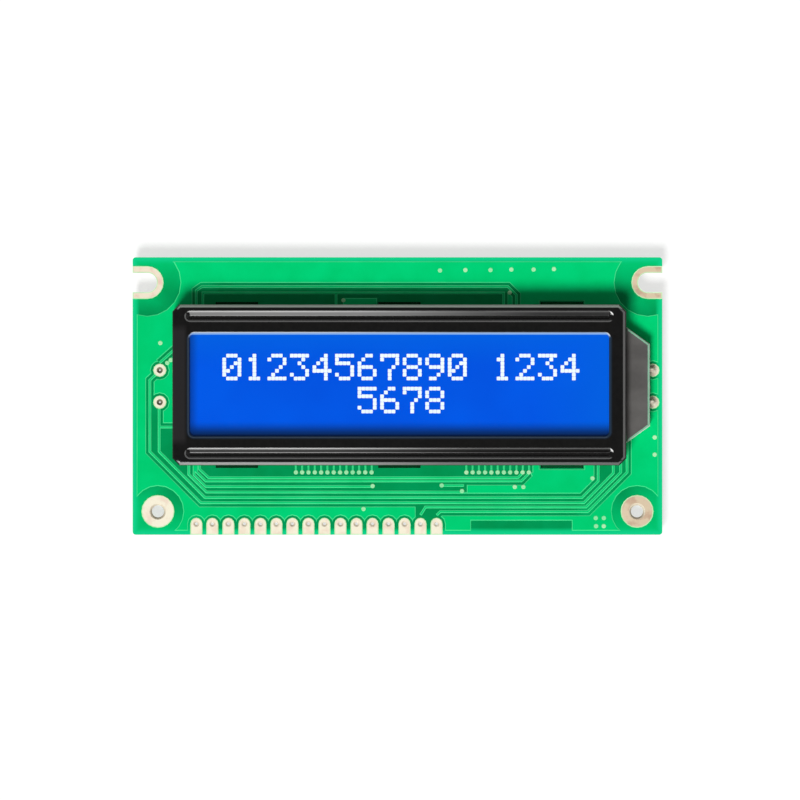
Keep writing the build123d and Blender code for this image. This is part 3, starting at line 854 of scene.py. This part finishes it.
DIGITS = {
    "0": ("01110", "10001", "10011", "10101", "11001", "10001", "01110"),
    "1": ("00100", "01100", "00100", "00100", "00100", "00100", "01110"),
    "2": ("01110", "10001", "00001", "00010", "00100", "01000", "11111"),
    "3": ("11111", "00010", "00100", "00010", "00001", "10001", "01110"),
    "4": ("00010", "00110", "01010", "10010", "11111", "00010", "00010"),
    "5": ("11111", "10000", "11110", "00001", "00001", "10001", "01110"),
    "6": ("00110", "01000", "10000", "11110", "10001", "10001", "01110"),
    "7": ("11111", "10001", "00001", "00010", "00100", "00100", "00100"),
    "8": ("01110", "10001", "10001", "01110", "10001", "10001", "01110"),
    "9": ("01110", "10001", "10001", "01111", "00001", "00010", "01100"),
}
DOT_ROWS = (("01234567890 1234", 353.8), ("      5678", 386.8))
DOT_PITCH = 0.6 * MM
DOT_SIZE = 0.58 * MM
DOT_THICKNESS = 0.01 * MM
CHARACTER_PITCH = 3.555 * MM
FIRST_COLUMN_PIXEL = 222.4
CUT_CORNER_SHARE = 0.12


def plate(made, low, high):
    """A thin rectangular plate between two corners, with small cut corners."""
    cut = CUT_CORNER_SHARE * min(high[0] - low[0], high[1] - low[1])
    outline = (
        (low[0] + cut, low[1]), (high[0] - cut, low[1]), (high[0], low[1] + cut),
        (high[0], high[1] - cut), (high[0] - cut, high[1]), (low[0] + cut, high[1]),
        (low[0], high[1] - cut), (low[0], low[1] + cut),
    )
    bottom = [made.verts.new((x, y, low[2])) for x, y in outline]
    top = [made.verts.new((x, y, high[2])) for x, y in outline]
    bridge(made, bottom, top)
    made.faces.new(top)


def display_dots():
    """The lit dots of every digit, as thin plates on the film."""
    made = bmesh.new()
    for text, top_pixel in DOT_ROWS:
        left, top = photo_place(FIRST_COLUMN_PIXEL, top_pixel, FILM_TOP)
        for column, character in enumerate(text):
            for row, pattern in enumerate(DIGITS.get(character, ())):
                for number, lit in enumerate(pattern):
                    if lit == "1":
                        x = left + column * CHARACTER_PITCH + number * DOT_PITCH
                        y = top - row * DOT_PITCH
                        plate(
                            made,
                            (x, y - DOT_SIZE, FILM_TOP),
                            (x + DOT_SIZE, y, FILM_TOP + DOT_THICKNESS),
                        )
    keep_piece("display_dots", made, ("dots",))


display_dots()


# Small round pieces

def lathe(made, x, y, profile, sides, direction=1):
    """A turned form about a vertical axis. The profile runs from its rim to its middle."""
    rings = []
    for radius, height in profile:
        if radius == 0:
            rings.append([made.verts.new((x, y, height))])
            continue
        ring = []
        for number in range(sides):
            angle = direction * 2 * math.pi * number / sides
            place = (x + radius * math.cos(angle), y + radius * math.sin(angle), height)
            ring.append(made.verts.new(place))
        rings.append(ring)
    for one, two in zip(rings, rings[1:]):
        if len(two) == 1:
            for number in range(sides):
                made.faces.new((one[number], one[(number + 1) % sides], two[0]))
        else:
            bridge(made, one, two)


# A small plated hole's lacquered rim: radius, and height over the copper
VIA_PROFILE = (
    (0.34 * MM, 0), (0.2788 * MM, 0.03 * MM), (0.18 * MM, 0.03 * MM), (0.12 * MM, 0.009 * MM),
    (0, 0.006 * MM),
)
VIA_SIDES = 16
VIA_PIXELS = [(295.9 + 6.308 * number, 472.3) for number in range(13)]
VIA_PIXELS += [(466.4 + 6.25 * number, 472.3) for number in range(11)]
VIA_PIXELS += [
    (372.7, 486), (462, 491), (441.7, 485.3), (363.5, 508.9), (514.8, 486.9), (523.4, 486.9),
    (595.8, 518), (603.8, 518), (596.1, 526.1), (603.8, 526.1), (592.6, 478.3),
    (654.7, 437.4), (654.7, 454.6), (160.3, 343), (170.8, 360), (167.2, 362.9),
    (343.4, 300.3), (509.7, 292.6), (440, 270.4), (465.4, 270), (490.5, 270), (511.4, 269.5),
    (533.6, 269.5), (553.9, 269),
]


def flat_outlines(node):
    """The closed outlines of a solid's upper faces, each with its sense of turn."""
    land = welded(node)
    top = max(vert.co.z for vert in land.verts)
    flat = {
        face for face in land.faces if all(abs(vert.co.z - top) < FLAT for vert in face.verts)
    }
    ways = {}
    for face in flat:
        for loop in face.loops:
            if sum(other in flat for other in loop.edge.link_faces) == 1:
                ways[loop.vert] = loop.link_loop_next.vert
    outlines = []
    while ways:
        start = next(iter(ways))
        ring = [start]
        while ways.get(ring[-1]) and ways[ring[-1]] != start:
            ring.append(ways[ring[-1]])
        for vert in ring:
            ways.pop(vert, None)
        places = [vert.co.copy() for vert in ring]
        turn = sum(
            places[number - 1].x * place.y - place.x * places[number - 1].y
            for number, place in enumerate(places)
        )
        if len(places) > 2:
            outlines.append((turn > 0, places))
    land.free()
    return outlines


OUTER_LIFT = 0.012 * MM
INNER_LIFT = 0.002 * MM
SHORTEST_SIDE = 1e-7
SHARPEST_CORNER = 0.2
LEAST_SPREAD = 0.4


def inner_band(made, places, width):
    """A strip that runs along the inside of an outline, just above the face."""
    outer = []
    inner = []
    for number, place in enumerate(places):
        before = (place - places[number - 1]).to_2d()
        after = (places[(number + 1) % len(places)] - place).to_2d()
        if before.length < SHORTEST_SIDE or after.length < SHORTEST_SIDE:
            continue
        before.normalize()
        after.normalize()
        inward = Vector((-before.y - after.y, before.x + after.x))
        if inward.length < SHARPEST_CORNER:
            continue
        inward *= width / max(inward.length_squared / 2, LEAST_SPREAD)
        outer.append(made.verts.new((place.x, place.y, place.z + OUTER_LIFT)))
        inner.append(made.verts.new((
            place.x + inward.x, place.y + inward.y, place.z + INNER_LIFT
        )))
    bridge(made, outer, inner)


LAND_LAP = 0.14 * MM


def lacquer_rims():
    """The edge of the lacquer's openings, where it laps onto the plated lands."""
    made = bmesh.new()
    for node in ("header_pads", "mount_hole_plating", "corner_slot_plating", "lamp_pads"):
        for outside, places in flat_outlines(node):
            if outside:
                inner_band(made, places, LAND_LAP)
    keep_piece("lacquer_rims", made, ("rim",), smooth_angle=40)


lacquer_rims()


BORE_START = 0.02 * MM
BORE_CURVE = 1.6
BORE_STEPS = 6
BORE_SIDES = 32


def bore_linings(name, node, waist_share, drop_share, finish):
    """The plating in a node's bores, which narrows to a waist at a depth below the face."""
    made = bmesh.new()
    for outside, places in flat_outlines(node):
        if outside:
            continue
        middle = sum(places, Vector()) / len(places)
        radius = (places[0] - middle).length
        profile = []
        for step in range(BORE_STEPS + 1):
            share = step / BORE_STEPS
            profile.append((
                radius * (1 - (1 - waist_share) * share),
                middle.z - BORE_START - radius * drop_share * share ** BORE_CURVE,
            ))
        lathe(made, middle.x, middle.y, profile, BORE_SIDES)
    keep_piece(name, made, (finish,), smooth_angle=60)


bore_linings("header_bores", "header_pads", waist_share=0.45, drop_share=0.42, finish="bore")
bore_linings("mount_bores", "mount_hole_plating", waist_share=0.74, drop_share=0.42, finish="bore")
# The lamp pads' bores take a dark finish: painted shade deep in the holes
bore_linings("lamp_bores", "lamp_pads", waist_share=0.3, drop_share=1.1, finish="deep_bore")


TAIL_EDGE_WIDTH = 0.26 * MM
TAIL_HIDDEN_LENGTH = 0.4 * MM


def tail_edge():
    """A pale band along the edge of the film on the tail, without its end under the bezel."""
    made = bmesh.new()
    for outside, places in flat_outlines("tail_cover"):
        if outside:
            inner_band(made, places, TAIL_EDGE_WIDTH)
    hidden = min(vert.co.x for vert in made.verts) + TAIL_HIDDEN_LENGTH
    left = [face for face in made.faces if face.calc_center_median().x < hidden]
    bmesh.ops.delete(made, geom=left, context="FACES")
    keep_piece("tail_edge", made, ("film_edge",), smooth_angle=40)


tail_edge()


SLOT_SHARES = (-0.72, 0, 0.72)
TAB_WIDTH = 6.4 * MM
SLOT_LENGTH = 6.7 * MM
SLOT_WIDTH = 1.5 * MM
SLOT_GAP = 0.06 * MM
SHADE_PLATE_LAP = 0.02 * MM
SHADE_PLATE_DEPTH = 0.2 * MM


def slot_shade_plates():
    """Dark plates of painted shade in the gaps between the bezel's tabs and the ends of the
    board's slots.
    """
    made = bmesh.new()
    height = BOARD_TOP - SHADE_PLATE_DEPTH
    for share in SLOT_SHARES:
        x = DISPLAY_X + share * BEZEL_LENGTH / 2
        for face, side in ((bezel_high.y, 1), (bezel_low.y, -1)):
            outer = face + side * (SLOT_GAP + SHADE_PLATE_LAP)
            inner = outer - side * SLOT_WIDTH
            end = SLOT_LENGTH / 2 + SHADE_PLATE_LAP
            strips = [(x - end, x + end, face - side * SHADE_PLATE_LAP, outer)]
            for way in (1, -1):
                strips.append((
                    x + way * (TAB_WIDTH / 2 - SHADE_PLATE_LAP), x + way * end, inner, outer
                ))
            for x_one, x_two, y_one, y_two in strips:
                low_x, high_x = sorted((x_one, x_two))
                low_y, high_y = sorted((y_one, y_two))
                plate(made, (low_x, low_y, height - SHADE_PLATE_LAP), (high_x, high_y, height))
    keep_piece("slot_shade_plates", made, ("gap",))


slot_shade_plates()


def front_vias():
    """Lacquered rims of the small plated holes."""
    made = bmesh.new()
    profile = [(radius, COPPER_TOP + height) for radius, height in VIA_PROFILE]
    for pixel_x, pixel_y in VIA_PIXELS:
        lathe(made, *photo_place(pixel_x, pixel_y, BOARD_TOP), profile, VIA_SIDES)
    keep_piece("front_vias", made, ("via",), smooth_angle=40)


front_vias()


def separate_solids(node):
    """The middle and the size of each separate solid of a node."""
    made = welded(node)
    seen = set()
    solids = []
    for start in made.verts:
        if start in seen:
            continue
        group = []
        waiting = [start]
        seen.add(start)
        while waiting:
            vert = waiting.pop()
            group.append(vert.co.copy())
            for edge in vert.link_edges:
                other = edge.other_vert(vert)
                if other not in seen:
                    seen.add(other)
                    waiting.append(other)
        low = Vector([min(co[axis] for co in group) for axis in range(3)])
        high = Vector([max(co[axis] for co in group) for axis in range(3)])
        solids.append(((low + high) / 2, high - low))
    made.free()
    return solids


DOME_SHOULDER_CURVE = 0.55
DOME_CROWN_CURVE = 0.9
DOME_STEPS = 16
DOME_SIDES = 64


def cast_domes():
    """Domes of cast resin with a soft shoulder."""
    made = bmesh.new()
    for middle, size in separate_solids("resin_domes"):
        profile = []
        for step in range(DOME_STEPS):
            angle = math.pi / 2 * step / DOME_STEPS
            profile.append((
                size.x / 2 * math.cos(angle) ** DOME_SHOULDER_CURVE,
                BOARD_BOTTOM - size.z * math.sin(angle) ** DOME_CROWN_CURVE,
            ))
        profile.append((0, BOARD_BOTTOM - size.z))
        lathe(made, middle.x, middle.y, profile, DOME_SIDES, -1)
    piece = keep_piece("cast_domes", made, ("dome",), smooth_angle=60)
    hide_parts("resin_domes")


cast_domes()


SOLDER_FOOT_SHARE = 0.88
SOLDER_HEIGHT = 0.62 * MM
SOLDER_TAPER_SHARE = 0.78
SOLDER_TAPER_CURVE = 0.8
SOLDER_RISE_CURVE = 1.7
SOLDER_STEPS = 12
SOLDER_SIDES = 40


def solder_joints():
    """Solder that draws up the leads in a hollow curve."""
    made = bmesh.new()
    for middle, size in separate_solids("lamp_solder"):
        foot = size.x / 2 * SOLDER_FOOT_SHARE
        for face, direction in ((COPPER_TOP, 1), (BACK_BOTTOM, -1)):
            profile = []
            for step in range(SOLDER_STEPS + 1):
                share = step / SOLDER_STEPS
                profile.append((
                    foot * (1 - SOLDER_TAPER_SHARE * share ** SOLDER_TAPER_CURVE),
                    face + direction * SOLDER_HEIGHT * share ** SOLDER_RISE_CURVE,
                ))
            profile.append((0, profile[-1][1]))
            lathe(made, middle.x, middle.y, profile, SOLDER_SIDES, direction)
    piece = keep_piece("solder_joints", made, ("solder",), smooth_angle=60)
    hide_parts("lamp_solder")


solder_joints()


# Floor, light and camera

WHITE = (1, 1, 1, 1)
FLOOR_REACH = 3.0
FLOOR_COLOUR = (0.85, 0.85, 0.85, 1)
SHOWN_FLOOR_COLOUR = (0.36, 0.36, 0.36, 1)
SHOWN_FLOOR_GLOW = 0.68
WORLD_LIGHT = 0.19
SHOWN_WORLD_LIGHT = 1.0
SUN_POWER = 3.1
SUN_SPREAD = math.radians(20)
SUN_PLACE = (-0.22, -0.55, 1.0)
SENSOR_WIDTH = 36
CLIP_START = 0.01
CLIP_END = 10
MIDDLE = (0, 0, 0)


def seen_ray(tree):
    """One for rays from the camera and for mirrored and refracted ones, else nothing."""
    path = tree.nodes.new("ShaderNodeLightPath")
    answer = path.outputs["Is Camera Ray"]
    for kind in ("Is Glossy Ray", "Is Transmission Ray"):
        either = tree.nodes.new("ShaderNodeMath")
        either.operation = "MAXIMUM"
        tree.links.new(answer, either.inputs[0])
        tree.links.new(path.outputs[kind], either.inputs[1])
        answer = either.outputs[0]
    return answer


def floor():
    """A wide floor that keeps the object's shadow, and shows white."""
    mesh = bpy.data.meshes.new("floor")
    corners = [(-1, -1), (1, -1), (1, 1), (-1, 1)]
    mesh.from_pydata(
        [(x * FLOOR_REACH, y * FLOOR_REACH, 0) for x, y in corners], [], [(0, 1, 2, 3)]
    )
    made = bpy.data.materials.new("floor_white")
    made.use_nodes = True
    tree = made.node_tree
    tree.nodes.clear()
    diffuse = tree.nodes.new("ShaderNodeBsdfDiffuse")
    diffuse.inputs["Color"].default_value = FLOOR_COLOUR
    shown = tree.nodes.new("ShaderNodeBsdfDiffuse")
    shown.inputs["Color"].default_value = SHOWN_FLOOR_COLOUR
    glow = tree.nodes.new("ShaderNodeEmission")
    glow.inputs["Color"].default_value = WHITE
    glow.inputs["Strength"].default_value = SHOWN_FLOOR_GLOW
    both = tree.nodes.new("ShaderNodeAddShader")
    choice = tree.nodes.new("ShaderNodeMixShader")
    output = tree.nodes.new("ShaderNodeOutputMaterial")
    tree.links.new(shown.outputs[0], both.inputs[0])
    tree.links.new(glow.outputs[0], both.inputs[1])
    tree.links.new(seen_ray(tree), choice.inputs[0])
    tree.links.new(diffuse.outputs[0], choice.inputs[1])
    tree.links.new(both.outputs[0], choice.inputs[2])
    tree.links.new(choice.outputs[0], output.inputs["Surface"])
    mesh.materials.append(made)
    piece = bpy.data.objects.new("floor", mesh)
    scene.collection.objects.link(piece)


def world():
    """An even white light, stronger where it is seen or mirrored."""
    made = bpy.data.worlds.new("studio")
    made.use_nodes = True
    scene.world = made
    tree = made.node_tree
    background = tree.nodes["Background"]
    background.inputs["Color"].default_value = WHITE
    strength = tree.nodes.new("ShaderNodeMapRange")
    strength.inputs[3].default_value = WORLD_LIGHT
    strength.inputs[4].default_value = SHOWN_WORLD_LIGHT
    tree.links.new(seen_ray(tree), strength.inputs[0])
    tree.links.new(strength.outputs[0], background.inputs["Strength"])


def aim(lamp, place):
    """Puts a lamp at a place, facing the middle of the object's foot."""
    lamp.location = place
    direction = Vector(MIDDLE) - Vector(place)
    lamp.rotation_euler = direction.to_track_quat("-Z", "Y").to_euler()


def key_light():
    """The one lamp that casts the object's shadow, from the front left."""
    data = bpy.data.lights.new("key", "SUN")
    data.energy = SUN_POWER
    data.angle = SUN_SPREAD
    lamp = bpy.data.objects.new("key", data)
    scene.collection.objects.link(lamp)
    aim(lamp, SUN_PLACE)


def card(name, place, size, power):
    """A soft panel that only shows in glossy surfaces, as a reflector beside the object does."""
    data = bpy.data.lights.new(name, "AREA")
    data.shape = "RECTANGLE"
    data.size, data.size_y = size
    data.energy = power
    lamp = bpy.data.objects.new(name, data)
    scene.collection.objects.link(lamp)
    aim(lamp, place)
    lamp.visible_diffuse = False
    lamp.visible_camera = False


def camera():
    """The photograph's camera, straight in front of the board."""
    data = bpy.data.cameras.new("camera")
    data.sensor_width = SENSOR_WIDTH
    width = PHOTO_SIZE / PIXELS_PER_METRE
    data.lens = data.sensor_width * CAMERA_DISTANCE / width
    data.clip_start = CLIP_START
    data.clip_end = CLIP_END
    made = bpy.data.objects.new("camera", data)
    made.location = (CAMERA_X, CAMERA_Y, BOARD_TOP + CAMERA_DISTANCE)
    scene.collection.objects.link(made)
    scene.camera = made


floor()
world()
key_light()
card("front_card", place=(-0.38, -0.85, 0.8), size=(0.9, 1.0), power=9)
card("back_card", place=(0.0, 1.0, 0.62), size=(1.6, 1.0), power=6)
card("right_card", place=(1.0, 0.0, 0.62), size=(1.6, 1.0), power=6)
camera()
scene.view_settings.view_transform = "Standard"
